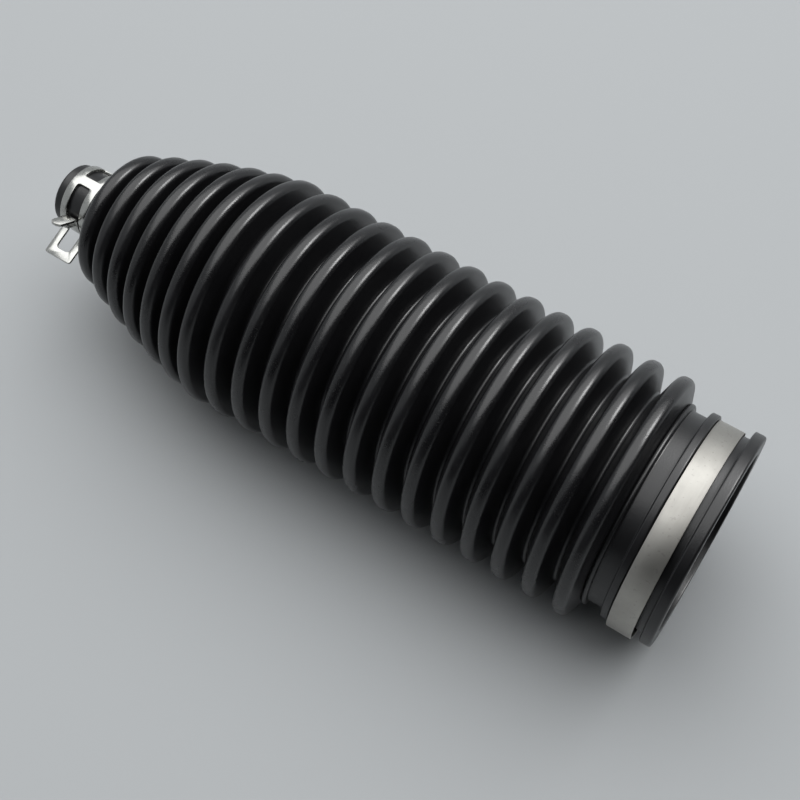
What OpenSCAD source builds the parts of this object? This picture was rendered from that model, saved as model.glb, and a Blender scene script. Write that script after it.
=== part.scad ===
// Steering gear bellows that seals the inner tie rod joint, with its two clamps.
// It stands on its large end: z = 0 is the end face of the cuff, and the small neck points up.

/* [Convolutions] */
// Crest diameter of the full-size convolutions
crest_d = 66; // [60:0.5:74]
// Number of full-size convolutions
full_count = 14; // [8:1:18]
// Number of smaller convolutions that lead to the neck
taper_count = 6; // [3:1:8]
// Distance between full-size crests
pitch = 8.6; // [8:0.1:10]
// Distance between tapering crests
taper_pitch = 7.4; // [7:0.1:9]
// Depth of a full-size fold, from crest to valley
fold_depth = 6.8; // [5.5:0.1:8]
// Depth of the fold beside the smallest crest
small_fold_depth = 5.3; // [4.6:0.1:6.5]
// Crest diameter of the smallest convolution
small_crest_d = 40; // [36:0.5:44]
// Share of the taper that curves instead of running straight
taper_curve = 0.42; // [0:0.02:0.6]
// Width of the flat land on each crest
crest_land = 0.8; // [0.4:0.1:1.4]
// Outer corner radius of each crest
crest_round = 1.6; // [1.6:0.1:2]
// Outer corner radius of each valley
valley_round = 0.7; // [0.5:0.1:0.9]
// Wall of the folds
wall = 1.3; // [1:0.1:1.5]

/* [Cuff] */
// Outer diameter of the cuff above the rim
cuff_d = 52.8; // [51:0.1:55]
// Bore of the cuff, which sits on the gear housing
cuff_bore_d = 48.4; // [46:0.1:49.6]
// Diameter of the lip at the open end
lip_d = 57.8; // [57.4:0.1:60]
// Height of the lip
lip_h = 3; // [2:0.1:4]
// Width of the bevel round the open end
lip_bevel = 0.6; // [0.3:0.1:1]
// Diameter of the groove that takes the cuff clamp
groove_d = 53.2; // [52.6:0.1:55.4]
// Height of the groove
groove_h = 8.7; // [8:0.1:12]
// Diameter of the rim above the groove
rim_d = 56.6; // [56.4:0.1:59]
// Height of the rim
rim_h = 2.2; // [1.6:0.1:3]
// Height of the plain cuff between the rim and the bead
cuff_h = 4.2; // [3:0.1:8]
// Round section radius of the bead below the first fold
bead_r = 0.7; // [0.5:0.05:0.9]
// Bevel on the edges of the rim and the lip
edge_bevel = 0.4; // [0.2:0.05:0.6]

/* [Neck] */
// Outer diameter of the neck
neck_d = 17.6; // [16:0.1:20]
// Bore of the neck, which grips the tie rod
neck_bore_d = 13.2; // [10:0.1:14]
// Height of the shoulder between the smallest crest and the neck
shoulder_h = 7.4; // [7:0.1:10]
// Outer corner radius where the shoulder meets the neck
shoulder_round = 2; // [1:0.1:2.6]
// Plain neck between the shoulder and the neck clamp
neck_lead = 0.9; // [0.5:0.1:4]
// Neck left free above its clamp
neck_tail = 3.1; // [2:0.1:6]
// Bevel on the neck's end
neck_bevel = 0.6; // [0.2:0.1:1]

/* [Cuff clamp] */
// Width of the cuff clamp's band
band_w = 6.6; // [5:0.1:7.4]
// Thickness of the band
band_t = 0.7; // [0.5:0.05:1]
// How much the open band's inner diameter exceeds the groove
band_play = 2.3; // [1:0.1:3.4]
// Clearance where the loose band touches the bottom of the groove
band_touch = 0.1; // [0.05:0.05:0.3]
// Clearance between the band and the rim
band_seat = 0.2; // [0.1:0.05:0.5]
// Width of the ear across its legs
ear_w = 9; // [7:0.5:12]
// Height of the ear above the band
ear_h = 3.4; // [2.6:0.1:3.8]
// Angle of the band's second layer on each side of the ear
lap_angle = 34; // [26:1:60]
// Direction of the ear round the axis
ear_at = 90; // [60:5:120]

/* [Neck clamp] */
// Width of the neck clamp's strip
strip_w = 8.8; // [7.5:0.1:10]
// Thickness of the strip
strip_t = 0.8; // [0.5:0.05:1]
// Radial clearance between the neck and its clamp
strip_fit = 0.1; // [0.05:0.01:0.15]
// Width of the two rails beside the windows
rail_w = 2.2; // [2:0.1:2.5]
// Angle that the first window spans, from the grip tab to the first cross bar
first_angle = 58; // [48:1:62]
// Angle that each later window spans
window_angle = 50; // [40:1:56]
// Angle that each cross bar spans
bar_angle = 17; // [9:1:20]
// Direction of the loop ear round the axis
loop_at = 191; // [180:1:200]
// Reach of the loop ear from the axis
loop_reach = 18.9; // [16:0.1:22]
// Width of the bar that closes the loop ear
loop_bar = 2.5; // [2:0.1:4]
// Corner radius of the loop ear's slot
loop_corner = 1; // [0.4:0.1:1.6]
// Direction of the grip tab round the axis
tab_at = 228; // [222:1:240]
// Reach of the grip tab from the axis
tab_reach = 15.6; // [13:0.1:17]
// Angle at which the tab leans towards the neck's end
tab_lean = 20; // [0:1:24]
// Clearance of the tongue between the rails
tongue_gap = 0.3; // [0.2:0.05:0.4]
// Angle before the loop ear at which the strip narrows to its tongue
tongue_lead = 31; // [20:1:36]
// Set-back of one layer's edges from the edges of the layer that carries it
edge_step = 0.1; // [0.08:0.01:0.14]

/* [Hidden] */
$fn = 96;
arc_steps = 3;

crest_r = crest_d / 2;
small_crest_r = small_crest_d / 2;
cuff_r = cuff_d / 2;
cuff_bore_r = cuff_bore_d / 2;
neck_r = neck_d / 2;
neck_bore_r = neck_bore_d / 2;
groove_r = groove_d / 2;
lip_r = lip_d / 2;
rim_r = rim_d / 2;

groove_top = lip_h + groove_h;
rim_top = groove_top + rim_h;
bead_z = rim_top + cuff_h + bead_r;
bead_mid_r = cuff_r + bead_r;
flank_foot_r = bead_mid_r + bead_r * 0.6;
flank_foot_z = bead_z + bead_r;
last = full_count + taper_count - 1;

// Angle that a flank makes with the radial direction, for a half pitch h, a depth d and corner radii that add up to s
function flank_angle(h, d, s) = acos(s / sqrt(h * h + (d - s) * (d - s))) - atan2(d - s, h);

// Angle of the lowest flank, taken from a full-size fold
first_flank = flank_angle((pitch - crest_land) / 2, fold_depth, crest_round + valley_round);
// Height of the lowest crest above the foot of its flank
first_rise = crest_land / 2 + crest_round * cos(first_flank)
    + (crest_r - crest_round * (1 - sin(first_flank)) - flank_foot_r) * tan(first_flank);
first_crest_z = flank_foot_z + first_rise;

// Share of the taper that crest i has passed, from 0 at the last full-size crest to 1 at the smallest
function taper_share(i) = max(0, i - full_count + 1) / taper_count;
function eased(t) = (1 - taper_curve) * t + taper_curve * t * t;
function crest_radius(i) = crest_r - (crest_r - small_crest_r) * eased(taper_share(i));
function crest_z(i) = first_crest_z + pitch * min(i, full_count - 1) + taper_pitch * max(0, i - full_count + 1);

// Valley i lies between crest i and crest i + 1
function depth_above(i) = fold_depth - (fold_depth - small_fold_depth) * taper_share(i + 1);
function valley_radius(i) = i == last ? neck_r : crest_radius(i + 1) - depth_above(i);
function valley_z(i) = i == last ? crest_z(last) + shoulder_h : (crest_z(i) + crest_z(i + 1)) / 2;
function valley_corner(i) = i == last ? shoulder_round : valley_round;

function upper_flank(i) = flank_angle(valley_z(i) - crest_z(i) - crest_land / 2,
    crest_radius(i) - valley_radius(i), crest_round + valley_corner(i));
function lower_flank(i) = i == 0 ? first_flank : flank_angle(crest_z(i) - valley_z(i - 1) - crest_land / 2,
    crest_radius(i) - valley_radius(i - 1), crest_round + valley_corner(i - 1));

// Points of an arc round (x, y) from angle a to angle b
function arc(x, y, r, a, b) = [for (k = [0:arc_steps]) let (t = a + (b - a) * k / arc_steps)
    [x + r * cos(t), y + r * sin(t)]];

// Both sides of the wall share their arc centres: inset 0 is the outside and inset wall is the inside
function crest_arc(i, inset) = concat(
    arc(crest_radius(i) - crest_round, crest_z(i) - crest_land / 2, crest_round - inset, lower_flank(i) - 90, 0),
    arc(crest_radius(i) - crest_round, crest_z(i) + crest_land / 2, crest_round - inset, 0, 90 - upper_flank(i)));
function valley_arc(i, inset) = arc(valley_radius(i) + valley_round, valley_z(i), valley_round + inset,
    270 - upper_flank(i), 90 + lower_flank(i + 1));
function folds(inset) = [for (i = [0:last]) each
    i == last ? crest_arc(i, inset) : concat(crest_arc(i, inset), valley_arc(i, inset))];

// Height at which a flank of the inner wall reaches radius r
function inner_low_z(r) = crest_z(0) - crest_land / 2 - (crest_round - wall) * cos(first_flank)
    - (crest_r - crest_round + (crest_round - wall) * sin(first_flank) - r) * tan(first_flank);
function inner_high_z(r) = crest_z(last) + crest_land / 2 + (crest_round - wall) * cos(upper_flank(last))
    + (small_crest_r - crest_round + (crest_round - wall) * sin(upper_flank(last)) - r) * tan(upper_flank(last));

neck_start = valley_z(last);
strip_z = neck_start + neck_lead;
neck_end = strip_z + strip_w + neck_tail;

cuff_outline = [
    [cuff_bore_r + lip_bevel, 0],
    [lip_r - lip_bevel, 0],
    [lip_r, lip_bevel],
    [lip_r, lip_h - edge_bevel],
    [lip_r - edge_bevel, lip_h],
    [groove_r, lip_h],
    [groove_r, groove_top],
    [rim_r - edge_bevel, groove_top],
    [rim_r, groove_top + edge_bevel],
    [rim_r, rim_top - edge_bevel],
    [rim_r - edge_bevel, rim_top],
    [cuff_r, rim_top],
    [cuff_r, bead_z - bead_r]
];
neck_outline = [
    [neck_r, neck_end - neck_bevel],
    [neck_r - neck_bevel, neck_end],
    [neck_bore_r + neck_bevel / 2, neck_end],
    [neck_bore_r, neck_end - neck_bevel / 2],
    [neck_bore_r, inner_high_z(neck_bore_r)]
];

function reversed(list) = [for (i = [len(list) - 1:-1:0]) list[i]];

// The moulded rubber boot, one wall from the cuff through every fold to the neck
module bellows() {
    color([0.13, 0.13, 0.14])
        rotate_extrude()
            polygon(concat(
                cuff_outline,
                arc(bead_mid_r, bead_z, bead_r, -90, 60),
                [[flank_foot_r, flank_foot_z]],
                folds(0),
                arc(neck_r + shoulder_round, neck_start, shoulder_round, 270 - upper_flank(last), 180),
                neck_outline,
                reversed(folds(wall)),
                [[cuff_bore_r, inner_low_z(cuff_bore_r)], [cuff_bore_r, lip_bevel]]));
}

band_r = groove_r + band_play / 2;
band_z = groove_top - band_seat - band_w;
band_shift = band_play / 2 - band_touch;

// Outline of the raised ear, seen along the axis, standing on the band's second layer
module ear_outline() {
    foot = band_r + band_t;
    top = foot + band_t + ear_h;
    lean = ear_w * 0.12;
    difference() {
        polygon([[foot, -ear_w / 2], [top - ear_h * 0.25, -ear_w / 2 + lean], [top, -ear_w / 2 + 2 * lean],
            [top, ear_w / 2 - 2 * lean], [top - ear_h * 0.25, ear_w / 2 - lean], [foot, ear_w / 2]]);
        polygon([[foot + band_t * 0.4, -ear_w / 2 + band_t], [top - ear_h * 0.3, -ear_w / 2 + lean + band_t],
            [top - band_t, -ear_w / 2 + 2 * lean + band_t], [top - band_t, ear_w / 2 - 2 * lean - band_t],
            [top - ear_h * 0.3, ear_w / 2 - lean - band_t], [foot + band_t * 0.4, ear_w / 2 - band_t]]);
    }
}

// Flat steel band that hangs open in the cuff's groove, with its crimping ear
module cuff_clamp() {
    color([0.78, 0.77, 0.74])
        translate([-band_shift, 0, band_z])
            union() {
                difference() {
                    cylinder(h = band_w, r = band_r + band_t);
                    translate([0, 0, -1]) cylinder(h = band_w + 2, r = band_r);
                }
                rotate([0, 0, ear_at - lap_angle])
                    rotate_extrude(angle = 2 * lap_angle)
                        translate([band_r + band_t / 2, edge_step]) square([band_t * 1.5, band_w - 2 * edge_step]);
                rotate([0, 0, ear_at]) translate([0, 0, 2 * edge_step])
                    linear_extrude(band_w - 4 * edge_step) ear_outline();
            }
}

strip_r = neck_r + strip_fit;
slot_w = strip_w - 2 * rail_w;
tongue_w = slot_w - 2 * tongue_gap;
first_bar = tab_at + first_angle;
open_step = window_angle + bar_angle;
window_count = 3;
// Middle of the strip's thickness, where both ears leave the ring
root_r = strip_r + strip_t / 2;

// Opening through the strip from angle a to angle b, w wide, whose lower edge is z above the strip's edge
module strip_cut(a, b, z, w) {
    rotate([0, 0, a])
        rotate_extrude(angle = b - a)
            translate([strip_r - 1, z]) square([strip_t + 2, w]);
}

// The strip rolled into a ring, with its windows, its slot and the tongue that lies in the slot
module strip_ring() {
    narrow = rail_w + tongue_gap + edge_step;
    first_w = slot_w + 2 * edge_step;
    difference() {
        cylinder(h = strip_w, r = strip_r + strip_t);
        translate([0, 0, -1]) cylinder(h = strip_w + 2, r = strip_r);
        strip_cut(loop_at - tongue_lead, loop_at, -1, narrow + 1);
        strip_cut(loop_at - tongue_lead, loop_at, strip_w - narrow, narrow + 1);
        strip_cut(loop_at - 1, tab_at + 1, rail_w, tongue_gap);
        strip_cut(loop_at - 1, tab_at + 1, strip_w - rail_w - tongue_gap, tongue_gap);
        strip_cut(tab_at, first_bar, rail_w - edge_step, first_w);
        for (k = [1:window_count])
            strip_cut(first_bar + k * open_step - window_angle, first_bar + k * open_step, rail_w, slot_w);
    }
}

// The ear with a slot, bent straight out from the two rails
module loop_ear() {
    slot_side = slot_w / 2 + edge_step;
    slot_end = loop_reach - loop_bar - loop_corner;
    rotate([0, 0, loop_at]) translate([0, strip_t * 0.75, strip_w / 2]) rotate([90, 0, 0])
        linear_extrude(strip_t)
            difference() {
                translate([root_r, edge_step - strip_w / 2])
                    square([loop_reach - root_r, strip_w - 2 * edge_step]);
                polygon(concat(
                    [[root_r - 1, -slot_side]],
                    arc(slot_end, loop_corner - slot_side, loop_corner, -90, 0),
                    arc(slot_end, slot_side - loop_corner, loop_corner, 0, 90),
                    [[root_r - 1, slot_side]]));
            }
}

// The grip tab, which is the tongue's end bent outwards, with a lean along the axis and a round tip
module grip_tab() {
    tab_r = tongue_w / 2 - edge_step;
    foot = strip_t / 2 + tongue_gap;
    rise = tab_reach - root_r - foot - tab_r;
    side = rise * tan(tab_lean);
    rotate([0, 0, tab_at]) translate([root_r, strip_t / 4, strip_w / 2]) rotate([90, 0, 0])
        linear_extrude(strip_t)
            polygon(concat(
                [[0, -tab_r]],
                arc(foot, 0, tab_r, -90, tab_lean - 90),
                arc(foot + rise, side, tab_r, tab_lean - 90, tab_lean),
                arc(foot + rise, side, tab_r, tab_lean, tab_lean + 90),
                [[foot - tab_r * tan(tab_lean / 2), tab_r], [0, tab_r]]));
}

// Spring strip that grips the neck: its tongue passes between the rails and both ends turn outwards
module neck_clamp() {
    color([0.86, 0.87, 0.88])
        translate([0, 0, strip_z])
            union() {
                strip_ring();
                loop_ear();
                grip_tab();
            }
}

bellows();
cuff_clamp();
neck_clamp();
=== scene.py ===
# %% [markdown]
# # A steering gear bellows, dressed for its picture
#
# The real thing is a black rubber boot about 20 cm long. Its wide cuff goes over the end
# of the steering gear and its narrow neck grips the tie rod. A loose steel band hangs in
# the groove of the cuff, and a bright spring strip is closed round the neck.
#
# The CAD model gives the sizes and the moving bodies. This lesson makes the pieces again
# with finer meshes, gives each a finish, and then sets up the table, the lamps and the
# camera of the photograph. The boot stands on its cuff at z = 0 and its neck points up.

from math import acos, asin, atan2, cos, degrees, pi, radians, sin, sqrt, tan

import bmesh
import bpy
from mathutils import Matrix, Quaternion, Vector


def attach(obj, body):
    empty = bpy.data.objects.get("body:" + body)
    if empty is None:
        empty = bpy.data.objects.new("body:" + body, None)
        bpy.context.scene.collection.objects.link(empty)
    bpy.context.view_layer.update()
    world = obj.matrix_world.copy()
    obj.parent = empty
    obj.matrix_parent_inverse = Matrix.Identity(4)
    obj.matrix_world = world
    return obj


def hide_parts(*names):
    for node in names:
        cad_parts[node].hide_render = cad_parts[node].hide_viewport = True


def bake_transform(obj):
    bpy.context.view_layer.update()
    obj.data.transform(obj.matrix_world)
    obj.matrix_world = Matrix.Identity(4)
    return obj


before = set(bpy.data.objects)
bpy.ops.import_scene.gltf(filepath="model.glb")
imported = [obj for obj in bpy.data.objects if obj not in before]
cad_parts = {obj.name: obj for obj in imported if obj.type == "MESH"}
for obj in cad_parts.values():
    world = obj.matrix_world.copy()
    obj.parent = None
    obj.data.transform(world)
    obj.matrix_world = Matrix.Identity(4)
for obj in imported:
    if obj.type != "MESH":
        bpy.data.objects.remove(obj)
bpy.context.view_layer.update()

MM = 0.001

# %% [markdown]
# ## Sizes of the boot
#
# The boot is a body of revolution, so its whole shape is one outline in a plane through
# the axis. The sizes are the ones of the CAD model, in millimetres. A crest is a narrow
# flat land with two rounded corners, and a valley is rounded more tightly. The last six
# folds taper towards the neck, and their crests follow a gentle curve.

# %% Write the sizes of the boot down
CREST_R, SMALL_CREST_R = 33.0, 20.0
FULL_FOLDS, TAPER_FOLDS = 14, 6
PITCH, TAPER_PITCH = 8.6, 7.4
FOLD_DEPTH, SMALL_FOLD_DEPTH = 6.8, 5.3
TAPER_CURVE = 0.42
LAND, CREST_ROUND, VALLEY_ROUND = 0.8, 1.6, 0.7
WALL = 1.3
LAST = FULL_FOLDS + TAPER_FOLDS - 1

CUFF_R, CUFF_BORE_R = 26.4, 24.2
LIP_R, LIP_H = 28.9, 3.0
GROOVE_R, GROOVE_TOP = 26.6, 11.7
RIM_R, RIM_TOP = 28.3, 13.9
BEAD_R, BEAD_Z = 0.7, 18.8
NECK_R, NECK_BORE_R = 8.8, 6.6
SHOULDER_H, SHOULDER_ROUND = 7.4, 2.0
NECK_LENGTH = 12.8


def flank_angle(half_pitch, depth, rounds):
    """Angle between a flank and the radial direction, where both its corners are rounded."""
    reach = depth - rounds
    return acos(rounds / sqrt(half_pitch ** 2 + reach ** 2)) - atan2(reach, half_pitch)


FOOT_R, FOOT_Z = CUFF_R + 1.6 * BEAD_R, BEAD_Z + BEAD_R
FIRST_FLANK = flank_angle((PITCH - LAND) / 2, FOLD_DEPTH, CREST_ROUND + VALLEY_ROUND)
FIRST_CREST_Z = (FOOT_Z + LAND / 2 + CREST_ROUND * cos(FIRST_FLANK)
                 + (CREST_R - CREST_ROUND * (1 - sin(FIRST_FLANK)) - FOOT_R) * tan(FIRST_FLANK))


def taper_share(fold):
    """0 for the full-size folds, rising to 1 at the last and smallest one."""
    return max(0, fold - FULL_FOLDS + 1) / TAPER_FOLDS


def crest_r(fold):
    share = taper_share(fold)
    fall = (1 - TAPER_CURVE) * share + TAPER_CURVE * share ** 2
    return CREST_R - (CREST_R - SMALL_CREST_R) * fall


def crest_z(fold):
    full, tapering = min(fold, FULL_FOLDS - 1), max(0, fold - FULL_FOLDS + 1)
    return FIRST_CREST_Z + PITCH * full + TAPER_PITCH * tapering


def valley_r(fold):
    """Bottom of the valley above a crest. The last one is the neck itself."""
    if fold == LAST:
        return NECK_R
    shallower = (FOLD_DEPTH - SMALL_FOLD_DEPTH) * taper_share(fold + 1)
    return crest_r(fold + 1) - FOLD_DEPTH + shallower


def valley_z(fold):
    if fold == LAST:
        return crest_z(LAST) + SHOULDER_H
    return (crest_z(fold) + crest_z(fold + 1)) / 2


def flank_above(fold):
    rounds = CREST_ROUND + (SHOULDER_ROUND if fold == LAST else VALLEY_ROUND)
    half_pitch = valley_z(fold) - crest_z(fold) - LAND / 2
    return flank_angle(half_pitch, crest_r(fold) - valley_r(fold), rounds)


def flank_below(fold):
    if fold == 0:
        return FIRST_FLANK
    half_pitch = crest_z(fold) - valley_z(fold - 1) - LAND / 2
    return flank_angle(half_pitch, crest_r(fold) - valley_r(fold - 1), CREST_ROUND + VALLEY_ROUND)


NECK_START = valley_z(LAST)
NECK_END = NECK_START + NECK_LENGTH
print(f"The first crest is at {crest_z(0):.2f} mm and the last at {crest_z(LAST):.2f} mm")
print(f"The neck ends at {NECK_END:.2f} mm")

# %% [markdown]
# ## The outline of the rubber
#
# The outline is drawn with sharp corners first. Each corner carries the distance over
# which it is rounded: a round of radius r between two lines that turn by an angle a
# starts r * tan(a / 2) before the corner. A vertex bevel then makes the arcs. The inside
# of the wall shares the centres of the outside's arcs, so its crests are tighter by the
# wall and its valleys are wider by it.

# %% List the corners of the folds
OUTER_STEPS, INNER_STEPS = (4, 3), (1, 1)  # segments in the round of a crest and of a valley
KEPT_SHARE = 0.97  # of a valley's rounding distance, so that its two rounds don't meet


def corner_reach(radius, flank):
    """How far before a sharp corner its round starts, where a flank meets a level line."""
    return radius * tan((pi / 2 - flank) / 2)


def fold_corners(inset):
    """Corners of every fold from cuff to neck, as (r, z, rounding distance, segments)."""
    crest_round, valley_round = CREST_ROUND - inset, VALLEY_ROUND + inset
    crest_steps, valley_steps = OUTER_STEPS if inset == 0 else INNER_STEPS
    corners = []
    for fold in range(LAST + 1):
        radius = crest_r(fold) - inset
        low_z, high_z = crest_z(fold) - LAND / 2, crest_z(fold) + LAND / 2
        low = corner_reach(crest_round, flank_below(fold))
        high = corner_reach(crest_round, flank_above(fold))
        corners.append((radius, low_z - low, low, crest_steps))
        corners.append((radius, high_z + high, high, crest_steps))
        if fold < LAST:
            radius, middle_z = valley_r(fold) - inset, valley_z(fold)
            low = corner_reach(valley_round, flank_above(fold))
            high = corner_reach(valley_round, flank_below(fold + 1))
            corners.append((radius, middle_z - low, low * KEPT_SHARE, valley_steps))
            corners.append((radius, middle_z + high, high * KEPT_SHARE, valley_steps))
    return corners


outer_folds, inner_folds = fold_corners(0), fold_corners(WALL)
print(f"The folds have {len(outer_folds)} corners outside and {len(inner_folds)} inside")

# %% List the corners of the whole outline
INNER_ROUND = CREST_ROUND - WALL
SHARP_ROUND, EDGE_ROUND, LIP_ROUND = 0.25, 0.4, 0.6
BEAD_ROUND, MOUTH_FLARE = 0.68, 0.2


def inner_low_z(radius):
    """Height at which the lowest inner flank reaches a radius."""
    start_r = CREST_R - CREST_ROUND + INNER_ROUND * sin(FIRST_FLANK)
    start_z = crest_z(0) - LAND / 2 - INNER_ROUND * cos(FIRST_FLANK)
    return start_z - (start_r - radius) * tan(FIRST_FLANK)


def inner_high_z(radius):
    """Height at which the inner shoulder reaches a radius."""
    flank = flank_above(LAST)
    start_r = SMALL_CREST_R - CREST_ROUND + INNER_ROUND * sin(flank)
    start_z = crest_z(LAST) + LAND / 2 + INNER_ROUND * cos(flank)
    return start_z + (start_r - radius) * tan(flank)


shoulder_reach = corner_reach(SHOULDER_ROUND, flank_above(LAST))
cuff_corners = [
    (CUFF_BORE_R + MOUTH_FLARE, 0.0, SHARP_ROUND, 2),
    (LIP_R, 0.0, LIP_ROUND, 3),
    (LIP_R, LIP_H, EDGE_ROUND, 3),
    (GROOVE_R, LIP_H, SHARP_ROUND, 2),
    (GROOVE_R, GROOVE_TOP, SHARP_ROUND, 2),
    (RIM_R, GROOVE_TOP, EDGE_ROUND, 3),
    (RIM_R, RIM_TOP, EDGE_ROUND, 3),
    (CUFF_R, RIM_TOP, SHARP_ROUND, 2),
    (CUFF_R, BEAD_Z - BEAD_R, 0.2, 2),
    (CUFF_R + 2 * BEAD_R, BEAD_Z - BEAD_R, BEAD_ROUND, 4),
    (CUFF_R + 2 * BEAD_R, BEAD_Z + BEAD_R, BEAD_ROUND, 4),
    (FOOT_R - 0.8, FOOT_Z - 0.1, 0.12, 1),
    (FOOT_R, FOOT_Z, 0.2, 1),
]
neck_corners = [
    (NECK_R, NECK_START + shoulder_reach, shoulder_reach, 4),
    (NECK_R, NECK_END, LIP_ROUND, 3),
    (NECK_BORE_R, NECK_END, EDGE_ROUND, 3),
    (NECK_BORE_R, inner_high_z(NECK_BORE_R), 0, 0),
]
bore_corners = [(CUFF_BORE_R, inner_low_z(CUFF_BORE_R), 0, 0)]
boot_corners = cuff_corners + outer_folds + neck_corners + inner_folds[::-1] + bore_corners
print(f"The outline has {len(boot_corners)} sharp corners")

# %% [markdown]
# ## From outline to boot
#
# A lathe turns an outline into a solid, and in Blender that is the spin operator. Before
# the spin each point of the outline is told how high on its fold it lies. The rubber's
# finish reads that number later, because it stays with the surface when the boot is
# squeezed or stretched, which a place in space would not.

# %% Helpers that round an outline, spin it and make it an object
AROUND = 120
LONG_STRETCH, HOLD_MARGIN = 1.2, 0.12


def rounded_outline(*loops):
    """A bmesh with a closed wire in the XZ plane for each list of corners, with round corners."""
    bm = bmesh.new()
    groups = {}
    for corners in loops:
        verts = [bm.verts.new((x * MM, 0, z * MM)) for x, z, _, _ in corners]
        for first, second in zip(verts, verts[1:] + verts[:1]):
            bm.edges.new((first, second))
        for vert, (_, _, reach, segments) in zip(verts, corners):
            if segments:
                groups.setdefault((round(reach, 3), segments), []).append(vert)
    for (reach, segments), group in groups.items():
        bmesh.ops.bevel(bm, geom=group, offset=reach * MM, offset_type="OFFSET",
                        segments=segments, profile=0.5, affect="VERTICES", material=-1,
                        clamp_overlap=False)
    return bm


def hold_corners(bm):
    """Adds a vertex close to both ends of each long stretch, so that flats are shaded flat."""
    for edge in bm.edges[:]:
        length = edge.calc_length() / MM
        if length > LONG_STRETCH:
            _, vert = bmesh.utils.edge_split(edge, edge.verts[0], HOLD_MARGIN / length)
            rest = max(vert.link_edges, key=lambda e: e.calc_length())
            bmesh.utils.edge_split(rest, vert, 1 - HOLD_MARGIN / (length - HOLD_MARGIN))


def spin_round(bm, steps=AROUND):
    """Turns the wire once round the Z axis into a closed skin that faces outwards."""
    bmesh.ops.spin(bm, geom=bm.verts[:] + bm.edges[:], cent=(0, 0, 0), axis=(0, 0, 1),
                   dvec=(0, 0, 0), angle=2 * pi, steps=steps, use_merge=True,
                   use_duplicate=False)
    bmesh.ops.remove_doubles(bm, verts=bm.verts, dist=1e-6)
    bmesh.ops.recalc_face_normals(bm, faces=bm.faces)


def finished(bm, name, sharp=radians(40)):
    """Makes the bmesh an object at the origin, smooth apart from its sharp edges."""
    mesh = bpy.data.meshes.new(name)
    bm.to_mesh(mesh)
    bm.free()
    mesh.polygons.foreach_set("use_smooth", [True] * len(mesh.polygons))
    mesh.set_sharp_from_angle(angle=sharp)
    piece = bpy.data.objects.new(name, mesh)
    bpy.context.scene.collection.objects.link(piece)
    print(f"{name}: {len(mesh.polygons)} faces")
    return piece


# %% Spin the boot
def height_on_fold(radius, z):
    """0 at the bottom of a valley, 1 on a crest, and 0.5 on the plain cuff and the neck."""
    if z < FOOT_Z or z > NECK_START:
        return 0.5
    fold = min(range(LAST + 1), key=lambda f: abs(crest_z(f) - z))
    foot = valley_r(fold) if z > crest_z(fold) or fold == 0 else valley_r(fold - 1)
    foot = max(foot, crest_r(fold) - FOLD_DEPTH)
    return max(0.0, min(1.0, (radius - foot) / (crest_r(fold) - foot)))


boot_bm = rounded_outline(boot_corners)
hold_corners(boot_bm)
fold_layer = boot_bm.verts.layers.float.new("on_fold")
for vert in boot_bm.verts:
    vert[fold_layer] = height_on_fold(vert.co.x / MM, vert.co.z / MM)
spin_round(boot_bm)
boot = finished(boot_bm, "rubber_boot")
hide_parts("bellows")

# %% [markdown]
# ## Strip steel
#
# Both clamps are cut flat from thin strip and then bent, so they are made that way here.
# The flat outline and its windows are wires whose corners are rounded, the wires are
# filled and given a thickness, and the rims are bevelled as a punch and a tumbler leave
# them. A bend needs edges to bend at, so the flat strip is cut across many times. Then
# each vertex is carried along a path that is a list of straight and curved stretches.

# %% A helper that cuts a strip flat
STRIP_RIM = 0.12


def cut_flat(loops, thickness):
    """Fills an outline and its windows, thickens the sheet about y = 0 and bevels its rims."""
    bm = rounded_outline(*loops)
    bmesh.ops.triangle_fill(bm, use_beauty=True, edges=bm.edges[:])
    bmesh.ops.dissolve_limit(bm, angle_limit=radians(1), verts=bm.verts[:], edges=bm.edges[:])
    bmesh.ops.solidify(bm, geom=bm.faces[:], thickness=thickness * MM)
    middle = sum(v.co.y for v in bm.verts) / len(bm.verts)
    bmesh.ops.translate(bm, verts=bm.verts[:], vec=(0, -middle, 0))
    bmesh.ops.recalc_face_normals(bm, faces=bm.faces)
    rims = [e for e in bm.edges if len(e.link_faces) == 2 and e.calc_face_angle() > radians(60)]
    rims = [e for e in rims if abs(e.verts[0].co.y - e.verts[1].co.y) < 1e-6]
    bmesh.ops.bevel(bm, geom=rims, offset=STRIP_RIM * MM, offset_type="OFFSET", segments=2,
                    profile=0.5, affect="EDGES", material=-1, clamp_overlap=True)
    return bm


# %% Helpers that bend a strip along a path
WIDE_STRETCH = 20.0  # a longer stretch is part of a ring and is cut at every STEP_WIDE degrees
STEP_WIDE, STEP_TIGHT = 4.0, 15.0


def walk(start, heading, path, distance):
    """Place and heading at a distance along a path of (length, turn) in mm and degrees."""
    place, heading = Vector(start), radians(heading)
    for length, turn in path:
        part = min(distance, length)
        angle = radians(turn) * part / length
        if turn:
            radius, after = length / radians(turn), heading + angle
            place = place + radius * Vector((sin(after) - sin(heading), cos(heading) - cos(after)))
        else:
            place = place + part * Vector((cos(heading), sin(heading)))
        heading += angle
        distance -= part
        if distance <= 0:
            break
    return place, heading


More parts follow.
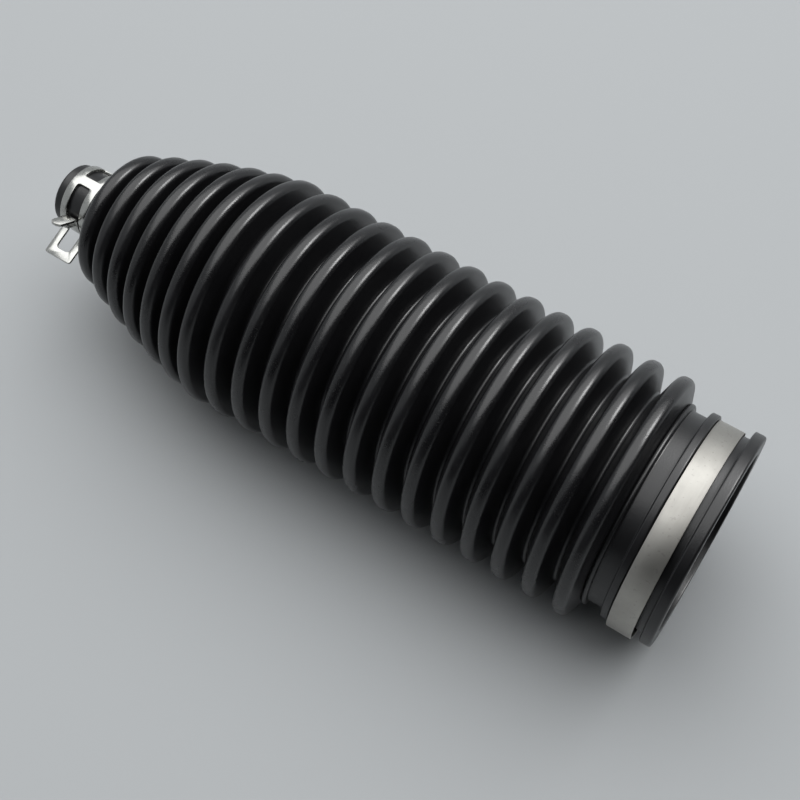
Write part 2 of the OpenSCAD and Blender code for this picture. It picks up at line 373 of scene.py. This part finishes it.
def bend_along(bm, start, heading, path, low_z):
    """Bends a flat strip: x becomes the distance along the path and y the offset across it."""
    passed = 0.0
    for length, turn in path:
        step = STEP_WIDE if length > WIDE_STRETCH else STEP_TIGHT
        pieces = max(1, round(abs(turn) / step))
        for k in range(pieces):
            cut_x = (passed + length * k / pieces) * MM
            bmesh.ops.bisect_plane(bm, geom=bm.verts[:] + bm.edges[:] + bm.faces[:], dist=1e-7,
                                   plane_co=(cut_x, 0, 0), plane_no=(1, 0, 0))
        passed += length
    for vert in bm.verts:
        place, facing = walk(start, heading, path, vert.co.x / MM)
        across = Vector((-sin(facing), cos(facing))) * vert.co.y
        vert.co = (place.x * MM + across.x, place.y * MM + across.y, vert.co.z + low_z * MM)


# %% [markdown]
# ## The loose band of the cuff
#
# This is an ear clamp: the strip goes once round, steps up over its own start and carries
# a raised ear, which pliers squeeze when the boot is fitted. It is delivered open, so it
# is about 2 mm too large for its groove and hangs to one side. Seen from above, its path
# is the inner layer, a short ramp, the outer layer, the ear, and the outer layer's end.

# %% Work out the path of the cuff's band
BAND_W, BAND_T, BAND_PLAY = 6.6, 0.7, 2.3
BAND_MID_R = GROOVE_R + BAND_PLAY / 2 + BAND_T / 2
BAND_SHIFT, BAND_GAP = -1.05, 0.2
BAND_Z = GROOVE_TOP - BAND_GAP - BAND_W
BAND_CORNER, RAMP_BEND = 0.8, 6.0
LAP_START, LAP_END = 56.0, 124.0
STEP_EARLY = 1.0  # degrees between the end of the step up and the band's own start
EAR_TOP, EAR_HALF = 32.2, 4.15
FOOT_BEND, TOP_BEND, LEG_HEADING = 0.9, 1.1, 110.5


def ramp_up(radius, step, bend):
    """A straight run and a bend that lead from one ring to a ring that is a step wider."""
    run = sqrt(step * (2 * radius + step - 2 * bend))
    turn = degrees(atan2(run, radius - bend))
    return [(run, 0), (bend * radians(turn), turn)], turn


def ear_path(radius):
    """One half of the ear, from the outer layer to the middle of the ear's top."""
    foot = degrees(acos(EAR_HALF / radius))
    foot_way, leg_way = radians(foot), radians(LEG_HEADING + 90)
    down, up = foot + 90 - LEG_HEADING, 180 - LEG_HEADING
    low_x = EAR_HALF + FOOT_BEND * (cos(foot_way) + cos(leg_way))
    low_y = radius * sin(foot_way) + FOOT_BEND * (sin(foot_way) + sin(leg_way))
    turn_x, turn_y = TOP_BEND * cos(leg_way), TOP_BEND * (1 + sin(leg_way))
    leg = (EAR_TOP - turn_y - low_y) / sin(radians(LEG_HEADING))
    top = low_x + leg * cos(radians(LEG_HEADING)) + turn_x
    half = [(FOOT_BEND * radians(down), -down), (leg, 0), (TOP_BEND * radians(up), up), (top, 0)]
    return half, foot


outer_r = BAND_MID_R + BAND_T
step_up, step_turn = ramp_up(BAND_MID_R, BAND_T, RAMP_BEND)
half_ear, foot_angle = ear_path(outer_r)
inner_turn = 360 - step_turn - STEP_EARLY
lead_turn = foot_angle - LAP_START + STEP_EARLY
tail_turn = LAP_END - (180 - foot_angle)
band_path = [
    (BAND_MID_R * radians(inner_turn), inner_turn), *step_up,
    (outer_r * radians(lead_turn), lead_turn), *half_ear,
    *half_ear[::-1], (outer_r * radians(tail_turn), tail_turn),
]
band_length = sum(length for length, _ in band_path)
print(f"The band is {band_length:.0f} mm long before it is bent")

# %% Cut the cuff's band and bend it
band_loop = [
    (0, 0, BAND_CORNER, 3), (band_length, 0, BAND_CORNER, 3),
    (band_length, BAND_W, BAND_CORNER, 3), (0, BAND_W, BAND_CORNER, 3),
]
lap_way = radians(LAP_START)
band_start = [BAND_MID_R * cos(lap_way) + BAND_SHIFT, BAND_MID_R * sin(lap_way)]
band_bm = cut_flat([band_loop], BAND_T)
bend_along(band_bm, band_start, LAP_START + 90, band_path, BAND_Z)
band = finished(band_bm, "cuff_band")
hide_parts("cuff_clamp")
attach(band, "cuff_end")

# %% [markdown]
# ## The spring strip of the neck
#
# The strip's wide end has a long slot and is bent out as a loop. Its narrow end is a
# tongue that passes through the slot and is bent out as the grip tab. Squeezing loop and
# tab together opens the ring. More windows along the strip let it flex evenly.

# %% Work out the path of the neck's strip
STRIP_W, STRIP_T = 8.8, 0.8
STRIP_LIFT, STRIP_GAP = 0.9, 0.1
STRIP_Z, STRIP_MID_R = NECK_START + STRIP_LIFT, NECK_R + STRIP_GAP + STRIP_T / 2
LOOP_AT, TAB_AT, FIRST_BAR = 191.0, 228.0, 286.0
WINDOWS, WINDOW_TURN, BAR_TURN, TONGUE_FROM = 3, 50.0, 17.0, 520.0
LOOP_REACH, LOOP_BAR, TAB_REACH, TAB_LEAN = 18.9, 2.5, 15.6, 20.0
LOOP_BEND, TAB_BEND = 1.3, 1.0
SLOT_HALF, TONGUE_HALF = 2.25, 1.8
EAR_SET = 0.2


def ear_root(bend):
    """Angle and radius at which a bend leaves the ring so that it ends on the ear's own plane."""
    angle = degrees(asin((EAR_SET + bend) / (STRIP_MID_R + bend)))
    return angle, (STRIP_MID_R + bend) * cos(radians(angle))


loop_root, loop_foot = ear_root(LOOP_BEND)
tab_root, tab_foot = ear_root(TAB_BEND)
ring_turn = TAB_AT + 360 - tab_root - LOOP_AT - loop_root
strip_path = [
    (LOOP_REACH - loop_foot, 0), (LOOP_BEND * radians(90 - loop_root), loop_root - 90),
    (STRIP_MID_R * radians(ring_turn), ring_turn),
    (TAB_BEND * radians(90 - tab_root), tab_root - 90), (TAB_REACH - tab_foot, 0),
]
strip_length = sum(length for length, _ in strip_path)
print(f"The strip is {strip_length:.0f} mm long before it is bent")

# %% Cut the neck's strip with its windows and bend it
strip_middle = STRIP_W / 2
tongue_low, tongue_high = strip_middle - TONGUE_HALF, strip_middle + TONGUE_HALF


def ring_x(angle):
    """Distance along the flat strip at which the ring reaches an angle."""
    before = strip_path[0][0] + strip_path[1][0]
    return before + STRIP_MID_R * radians(angle - LOOP_AT - loop_root)


def window(low, high, low_round, high_round):
    """Corners of a window in the middle of the strip."""
    return [(low, strip_middle - SLOT_HALF, low_round, 4),
            (high, strip_middle - SLOT_HALF, high_round, 4),
            (high, strip_middle + SLOT_HALF, high_round, 4),
            (low, strip_middle + SLOT_HALF, low_round, 4)]


tongue_x = ring_x(TONGUE_FROM)
lean_x, tip_x = strip_length - strip_path[4][0] + 0.2, strip_length
side = (tip_x - TONGUE_HALF - lean_x) * tan(radians(TAB_LEAN))
strip_outline = [
    (0, 0, 0.9, 4), (tongue_x, 0, 1.2, 4), (tongue_x, tongue_low, 0.8, 4),
    (lean_x, tongue_low, 0.5, 3), (tip_x, tongue_low + side, 1.4, 6),
    (tip_x, tongue_high + side, 1.6, 6), (lean_x, tongue_high, 0.5, 3),
    (tongue_x, tongue_high, 0.8, 4), (tongue_x, STRIP_W, 1.2, 4), (0, STRIP_W, 0.6, 4),
]
strip_loops = [strip_outline, window(LOOP_BAR, ring_x(FIRST_BAR), 1.2, 0.8)]
for k in range(WINDOWS):
    first = FIRST_BAR + BAR_TURN + k * (WINDOW_TURN + BAR_TURN)
    strip_loops.append(window(ring_x(first), ring_x(first + WINDOW_TURN), 0.8, 0.8))
loop_way, set_way = radians(LOOP_AT), radians(LOOP_AT + 90)
strip_start = [LOOP_REACH * cos(loop_way) + EAR_SET * cos(set_way),
               LOOP_REACH * sin(loop_way) + EAR_SET * sin(set_way)]
strip_bm = cut_flat(strip_loops, STRIP_T)
bend_along(strip_bm, strip_start, LOOP_AT + 180, strip_path, STRIP_Z)
strip = finished(strip_bm, "neck_strip")
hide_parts("neck_clamp")
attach(strip, "neck_end")

# %% [markdown]
# ## Finishes
#
# Each finish is a Principled BSDF whose colours and roughness come from procedural
# patterns. Three small node groups are shared: one gives the fine unevenness of a moulded
# or rolled skin, one gives specks of dust and dirt, and one gives the lengthwise lines
# that rolling leaves on strip steel. A few helpers keep the node trees short to write.

# %% Helpers for node trees
def place_node(tree, kind, **settings):
    node = tree.nodes.new(kind)
    for key, value in settings.items():
        if key in node.inputs:
            node.inputs[key].default_value = value
        else:
            setattr(node, key, value)
    return node


def new_group(name, inputs, outputs):
    """A shader node group with float inputs, given as name: value, and float outputs."""
    group = bpy.data.node_groups.new(name, "ShaderNodeTree")
    group.interface.new_socket("Vector", in_out="INPUT", socket_type="NodeSocketVector")
    for label, value in inputs.items():
        socket = group.interface.new_socket(label, in_out="INPUT", socket_type="NodeSocketFloat")
        socket.default_value = value
    for label in outputs:
        group.interface.new_socket(label, in_out="OUTPUT", socket_type="NodeSocketFloat")
    print(f"Group {name} gives {', '.join(outputs)}")
    return group, group.nodes.new("NodeGroupInput"), group.nodes.new("NodeGroupOutput")


def ramp(tree, source, low, high, to_low=0.0, to_high=1.0):
    """Stretches the part of a value between low and high to a new range."""
    node = place_node(tree, "ShaderNodeMapRange")
    node.inputs["From Min"].default_value = low
    node.inputs["From Max"].default_value = high
    node.inputs["To Min"].default_value = to_low
    node.inputs["To Max"].default_value = to_high
    tree.links.new(source, node.inputs["Value"])
    return node.outputs["Result"]


def spread(tree, noise, to_low=0.0, to_high=1.0):
    """The same for a noise, which stays between 0.3 and 0.7 nearly everywhere."""
    return ramp(tree, noise, 0.3, 0.7, to_low, to_high)


def combine(tree, operation, first, second):
    """A Math node on two values, each a number or an output."""
    node = place_node(tree, "ShaderNodeMath", operation=operation)
    for socket, value in zip(node.inputs, (first, second)):
        if isinstance(value, (int, float)):
            socket.default_value = value
        else:
            tree.links.new(value, socket)
    return node.outputs[0]


def mix_colour(tree, factor, first, second):
    """A Mix node between two colours, each a tuple or an output."""
    node = place_node(tree, "ShaderNodeMix", data_type="RGBA")
    tree.links.new(factor, node.inputs["Factor"])
    for socket, value in zip((node.inputs[6], node.inputs[7]), (first, second)):
        if isinstance(value, tuple):
            socket.default_value = (*value, 1)
        else:
            tree.links.new(value, socket)
    return node.outputs[2]


# %% The fine unevenness of a skin
def noise_of_size(group, vector, size, detail):
    """A noise whose features are about as large as a length that comes from a socket."""
    noise = place_node(group, "ShaderNodeTexNoise", Detail=detail)
    group.links.new(vector, noise.inputs["Vector"])
    group.links.new(combine(group, "DIVIDE", 1.0, size), noise.inputs["Scale"])
    return noise.outputs["Fac"]


def make_fine_skin():
    group, given, result = new_group("fine_skin", {"Grain Size": 0.0004, "Cloud Size": 0.012},
                                     ["Grain", "Clouds"])
    where = given.outputs["Vector"]
    grain = noise_of_size(group, where, given.outputs["Grain Size"], 2.0)
    clouds = noise_of_size(group, where, given.outputs["Cloud Size"], 4.0)
    group.links.new(grain, result.inputs["Grain"])
    group.links.new(clouds, result.inputs["Clouds"])
    return group


fine_skin = make_fine_skin()


# %% Specks of dust and dirt, and the lines that rolling leaves along a strip
def make_specks():
    """Only the highest tips of a noise show, and a larger Amount lets more of them through."""
    group, given, result = new_group("specks", {"Size": 0.0008, "Amount": 0.3}, ["Specks"])
    noise = noise_of_size(group, given.outputs["Vector"], given.outputs["Size"], 1.0)
    lowered = combine(group, "MULTIPLY", given.outputs["Amount"], 0.3)
    over = combine(group, "SUBTRACT", noise, combine(group, "SUBTRACT", 0.78, lowered))
    group.links.new(ramp(group, over, 0.0, 0.05), result.inputs["Specks"])
    return group


def make_rolled_lines():
    """A noise that is drawn out round the axis, so that it hardly changes along the strip."""
    group, given, result = new_group("rolled_lines", {"Line Width": 0.0003}, ["Lines"])
    stretch = place_node(group, "ShaderNodeVectorMath", operation="MULTIPLY")
    stretch.inputs[1].default_value = (0.03, 0.03, 1.0)
    group.links.new(given.outputs["Vector"], stretch.inputs[0])
    lines = noise_of_size(group, stretch.outputs["Vector"], given.outputs["Line Width"], 3.0)
    group.links.new(lines, result.inputs["Lines"])
    return group


specks = make_specks()
rolled_lines = make_rolled_lines()


# %% Helpers that start a finish, place a group in it and give it relief
def new_finish(name):
    finish = bpy.data.materials.new(name)
    finish.use_nodes = True
    tree = finish.node_tree
    shader = tree.nodes["Principled BSDF"]
    where = place_node(tree, "ShaderNodeTexCoord").outputs["Object"]
    return finish, tree, shader, where


def use_group(tree, group, where, **values):
    node = place_node(tree, "ShaderNodeGroup", node_tree=group)
    tree.links.new(where, node.inputs["Vector"])
    for key, value in values.items():
        node.inputs[key.replace("_", " ")].default_value = value
    return node


def bump(tree, shader, height, distance, strength):
    node = place_node(tree, "ShaderNodeBump")
    node.inputs["Distance"].default_value = distance
    node.inputs["Strength"].default_value = strength
    tree.links.new(height, node.inputs["Height"])
    tree.links.new(node.outputs["Normal"], shader.inputs["Normal"])


# %% [markdown]
# ## Black rubber
#
# Moulded rubber is almost black and has a satin skin: it mirrors a lamp as a soft streak
# on each crest. The crests are handled most, so they are a little smoother and carry the
# grey bloom and the dust, while the valleys stay dull and dark.

# %% Make the rubber
DEEP_BLACK, BLOOM_BLACK, DUST = (0.007, 0.007, 0.008), (0.0115, 0.0117, 0.013), (0.03, 0.03, 0.03)


def make_rubber():
    finish, tree, shader, where = new_finish("moulded_rubber")
    skin = use_group(tree, fine_skin, where, Grain_Size=0.00035, Cloud_Size=0.011)
    clouds = skin.outputs["Clouds"]
    dust = use_group(tree, specks, where, Size=0.0004, Amount=0.45).outputs["Specks"]
    height = place_node(tree, "ShaderNodeAttribute", attribute_name="on_fold").outputs["Fac"]
    crest = ramp(tree, height, 0.55, 1.0)

    bloom = combine(tree, "MULTIPLY", crest, ramp(tree, clouds, 0.42, 0.68))
    skinned = mix_colour(tree, bloom, DEEP_BLACK, BLOOM_BLACK)
    dusty = combine(tree, "MULTIPLY", dust, ramp(tree, height, 0.45, 0.9, 0.0, 0.5))
    tree.links.new(mix_colour(tree, dusty, skinned, DUST), shader.inputs["Base Color"])

    satin = spread(tree, clouds, 0.25, 0.31)
    duller_valley = ramp(tree, crest, 0.0, 1.0, 0.06, 0.0)
    duller_dust = combine(tree, "MULTIPLY", dusty, 0.25)
    rough = combine(tree, "ADD", combine(tree, "ADD", satin, duller_valley), duller_dust)
    tree.links.new(rough, shader.inputs["Roughness"])
    bump(tree, shader, skin.outputs["Grain"], 0.00004, 0.6)
    print(f"{finish.name}: {len(tree.nodes)} nodes")
    return finish


boot.data.materials.append(make_rubber())

# %% [markdown]
# ## The two steels
#
# Both strips are rolled, so fine lines run along them, and both have been through a
# packer's hands: there are faint clouds and a few dark specks. The loose band is a satin,
# slightly warm stainless steel. The spring strip is plated and smoother.

# %% Make the steels
def shade(colour, share):
    return tuple(c * share for c in colour)


def make_steel(name, colour, low, high, cloud_size, dirt_amount):
    """A metal whose roughness goes from low to high in clouds."""
    finish, tree, shader, where = new_finish(name)
    shader.inputs["Metallic"].default_value = 1.0
    skin = use_group(tree, fine_skin, where, Grain_Size=0.0005, Cloud_Size=cloud_size)
    clouds = skin.outputs["Clouds"]
    lines = use_group(tree, rolled_lines, where, Line_Width=0.00025).outputs["Lines"]
    dirt = use_group(tree, specks, where, Size=0.0009, Amount=dirt_amount).outputs["Specks"]

    clouded = mix_colour(tree, spread(tree, clouds), colour, shade(colour, 0.86))
    faint_dirt = combine(tree, "MULTIPLY", dirt, 0.22)
    dirtied = mix_colour(tree, faint_dirt, clouded, shade(colour, 0.35))
    tree.links.new(dirtied, shader.inputs["Base Color"])

    lined = spread(tree, lines, -0.03, 0.03)
    tree.links.new(combine(tree, "ADD", spread(tree, clouds, low, high), lined),
                   shader.inputs["Roughness"])
    grain = combine(tree, "MULTIPLY", skin.outputs["Grain"], 0.5)
    bump(tree, shader, combine(tree, "ADD", lines, grain), 0.000012, 0.6)
    print(f"{finish.name}: {len(tree.nodes)} nodes")
    return finish


band_steel = make_steel("band_steel", (0.42, 0.408, 0.38), 0.44, 0.52, 0.008, 0.34)
spring_steel = make_steel("spring_steel", (0.46, 0.46, 0.44), 0.16, 0.30, 0.003, 0.36)
band.data.materials.append(band_steel)
strip.data.materials.append(spring_steel)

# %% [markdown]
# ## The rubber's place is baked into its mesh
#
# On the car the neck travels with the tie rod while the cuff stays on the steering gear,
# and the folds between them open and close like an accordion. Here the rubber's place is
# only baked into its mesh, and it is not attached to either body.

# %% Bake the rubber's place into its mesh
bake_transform(boot)
print(f"The rubber turns from one body to the other between {FOOT_Z:.1f} and {NECK_START:.1f} mm")

# %% [markdown]
# ## Table, backdrop and floor
#
# In the photograph the boot lies on a pale table and the camera looks down at it. Here
# the boot stands up, so that table is a plane beside it that touches the crests. A second
# plane is the floor that the boot stands on, for every other view. Both are seen from
# their front only: from behind they are clear, so that neither hides the boot. They are
# kept small, because a larger floor showed a dark strip in views from the side.

# %% Build the table and the floor
TABLE_NORMAL = Vector((0.4226, -0.9063, 0.0)).normalized()
PALE = (0.52, 0.543, 0.557)
STAGE_HALF = 0.9
TABLE_GAP, FLOOR_GAP = 0.05, 0.1


def stage_plane(name, centre, normal, mirrored):
    """A pale square. Where it isn't mirrored, it also throws no light back at the boot."""
    bm = bmesh.new()
    turned = normal.to_track_quat("Z", "Y").to_matrix().to_4x4()
    bmesh.ops.create_grid(bm, x_segments=1, y_segments=1, size=STAGE_HALF,
                          matrix=Matrix.Translation(centre) @ turned)
    plane = finished(bm, name)
    finish = bpy.data.materials.new(name)
    finish.use_nodes = True
    tree = finish.node_tree
    tree.nodes.clear()
    out = tree.nodes.new("ShaderNodeOutputMaterial")
    paper = tree.nodes.new("ShaderNodeBsdfDiffuse")
    paper.inputs["Color"].default_value = (*PALE, 1)
    clear = tree.nodes.new("ShaderNodeBsdfTransparent")
    side = tree.nodes.new("ShaderNodeNewGeometry")
    mix = tree.nodes.new("ShaderNodeMixShader")
    tree.links.new(side.outputs["Backfacing"], mix.inputs[0])
    tree.links.new(paper.outputs[0], mix.inputs[1])
    tree.links.new(clear.outputs[0], mix.inputs[2])
    tree.links.new(mix.outputs[0], out.inputs["Surface"])
    plane.data.materials.append(finish)
    plane.visible_shadow = False
    plane.visible_diffuse = plane.visible_glossy = mirrored


stage_plane("table", -TABLE_NORMAL * (CREST_R + TABLE_GAP) * MM, TABLE_NORMAL, True)
stage_plane("floor", Vector((0, 0, -FLOOR_GAP * MM)), Vector((0, 0, 1)), False)

# %% [markdown]
# ## A dark drape
#
# A photographer hangs black cloth on the side without lamps, so that glossy rubber has
# something dark to mirror and stays black there. Here it is a part of a large sphere,
# cut off on the side of the lamps and behind the table. It shows in reflections only.

# %% Hang the drape on the side without lamps
DRAPE_R, DRAPE_BLACK = 2.4, 0.02
LAMP_SIDE = Vector((0.62, -0.10, 0.78))

drape_bm = bmesh.new()
bmesh.ops.create_uvsphere(drape_bm, u_segments=48, v_segments=24, radius=DRAPE_R)
for normal, outer, inner in ((LAMP_SIDE, True, False), (TABLE_NORMAL, False, True)):
    everything = drape_bm.verts[:] + drape_bm.edges[:] + drape_bm.faces[:]
    bmesh.ops.bisect_plane(drape_bm, geom=everything, dist=1e-6, plane_co=(0, 0, 0),
                           plane_no=normal, clear_outer=outer, clear_inner=inner)
drape = finished(drape_bm, "drape")
cloth = bpy.data.materials.new("drape")
cloth.use_nodes = True
cloth_shader = cloth.node_tree.nodes["Principled BSDF"]
cloth_shader.inputs["Base Color"].default_value = (DRAPE_BLACK, DRAPE_BLACK, DRAPE_BLACK, 1)
cloth_shader.inputs["Roughness"].default_value = 1.0
drape.data.materials.append(cloth)
drape.visible_camera = drape.visible_shadow = drape.visible_diffuse = False

# %% [markdown]
# ## Lamps
#
# A large soft box makes the grey bands along the crests and the soft shadow. It is rolled
# by 35 degrees and no larger than this, because the bands became too broad before that. A
# small bright lamp makes the narrow streak on each crest and only shows as a reflection.
# The satin band turned white under it, so light linking spares the band.

# %% Light the boot
BOOT_MIDDLE = Vector((0, 0, 0.1))


def lamp(name, direction, distance, width, height, radiance, roll=0.0):
    """A flat lamp that faces the boot. Its power follows from how bright its face looks."""
    data = bpy.data.lights.new(name, "AREA")
    data.shape = "RECTANGLE"
    data.size, data.size_y = width, height
    data.energy = radiance * pi * width * height
    source = bpy.data.objects.new(name, data)
    way = Vector(direction).normalized()
    source.location = BOOT_MIDDLE + way * distance
    source.rotation_mode = "QUATERNION"
    rolled = Quaternion((0, 0, 1), radians(roll))
    source.rotation_quaternion = way.to_track_quat("Z", "Y") @ rolled
    source.visible_camera = False
    bpy.context.scene.collection.objects.link(source)
    print(f"{name}: {data.energy:.2f} W over {width} by {height} m")
    return source


lamp("soft_box", (0.67, -0.71, 0.08), 1.3, 2.0, 2.4, 2.1, roll=35.0)
streak_lamp = lamp("streak_lamp", (0.87, -0.44, -0.35), 1.6, 0.62, 0.62, 13.5)
streak_lamp.visible_diffuse = False
spared = bpy.data.collections.new("not_lit_by_streak_lamp")
spared.objects.link(band)
spared.collection_objects[0].light_linking.link_state = "EXCLUDE"
streak_lamp.light_linking.receiver_collection = spared

# %% [markdown]
# ## The room
#
# The camera and every mirror see a pale grey room. The light that the room really throws
# on the boot is much weaker, so nearly all of its light comes from the soft box.

# %% Fill the room with light
PALE_ROOM, WEAK_LIGHT = (0.45, 0.47, 0.485), (0.032, 0.033, 0.034)

world = bpy.data.worlds.new("room")
bpy.context.scene.world = world
world.use_nodes = True
tree = world.node_tree
tree.nodes.clear()
out = tree.nodes.new("ShaderNodeOutputWorld")
seen = tree.nodes.new("ShaderNodeBackground")
seen.inputs["Color"].default_value = (*PALE_ROOM, 1)
room = tree.nodes.new("ShaderNodeBackground")
room.inputs["Color"].default_value = (*WEAK_LIGHT, 1)
rays = tree.nodes.new("ShaderNodeLightPath").outputs
mix = tree.nodes.new("ShaderNodeMixShader")
shown = combine(tree, "MAXIMUM", rays["Is Camera Ray"], rays["Is Transmission Ray"])
tree.links.new(combine(tree, "MAXIMUM", shown, rays["Is Glossy Ray"]), mix.inputs[0])
tree.links.new(room.outputs[0], mix.inputs[1])
tree.links.new(seen.outputs[0], mix.inputs[2])
tree.links.new(mix.outputs[0], out.inputs["Surface"])
print(f"{world.name}: {len(tree.nodes)} nodes")

# %% [markdown]
# ## Camera
#
# The camera stands close, about 32 cm from the cuff, so the perspective is strong. Its
# place, axes and focal length were fitted to the outlines, the band and the near sides of
# the folds in the photograph. It has no shift and no depth of field.

# %% Set the camera where the photographer stood
RIGHT = Vector((0.48883, 0.24646, -0.83684))
UP = Vector((0.87238, -0.13810, 0.46891))
FORWARD = Vector((0.0, 0.95926, 0.28251))
STANDPOINT = Vector((-6.308, -318.002, -8.506)) * MM

camera_data = bpy.data.cameras.new("camera")
camera_data.sensor_width = 36.0
camera_data.lens = 57.46
camera_data.clip_start = 0.01
camera = bpy.data.objects.new("camera", camera_data)
turn = Matrix((RIGHT, UP, -FORWARD)).transposed().to_4x4()
camera.matrix_world = Matrix.Translation(STANDPOINT) @ turn
bpy.context.scene.collection.objects.link(camera)
bpy.context.scene.camera = camera
bpy.context.scene.view_settings.view_transform = "Standard"
print(f"The camera is {STANDPOINT.length / MM:.0f} mm from the middle of the cuff's face")
